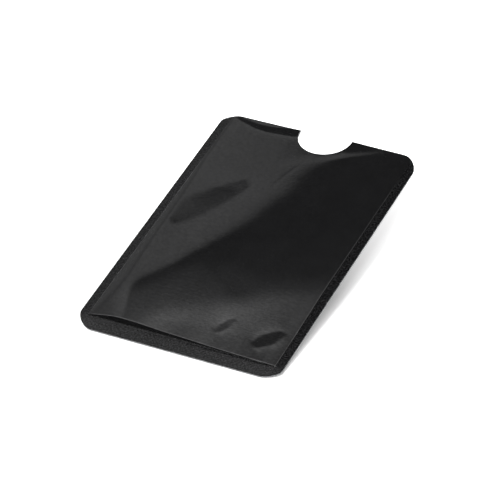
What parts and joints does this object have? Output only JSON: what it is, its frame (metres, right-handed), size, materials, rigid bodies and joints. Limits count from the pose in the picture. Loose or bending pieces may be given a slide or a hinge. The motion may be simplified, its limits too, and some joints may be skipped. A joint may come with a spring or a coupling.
{
  "type": "rfid card holder",
  "caption": "Slim black glossy sleeve of foil-lined film for a payment card, welded along both long edges and the bottom, with an open mouth and a half-round thumb notch.",
  "frame": {"origin": "centre of the sleeve's outline, on the plane of the back wall's outer face", "axes": "+Y along the sleeve towards its open mouth, +Z out of the front wall, +X to the right seen from the front with the mouth up"},
  "size_m": [0.061, 0.092, 0.0021],
  "materials": {
    "black_film": "glossy black film, slightly softened by handling, with a fine emboss where it is welded",
    "shielding_foil": "thin rolled foil, satin",
    "seal_film": "thin heat-seal film over the foil, silver grey"
  },
  "bodies": {
    "root": {"front_outer_film": "black_film", "front_shield_foil": "shielding_foil", "front_seal_film": "seal_film", "back_outer_film": "black_film", "back_shield_foil": "shielding_foil", "back_seal_film": "seal_film", "left_side_weld": "seal_film", "right_side_weld": "seal_film", "bottom_weld": "seal_film"}
  },
  "joints": []
}
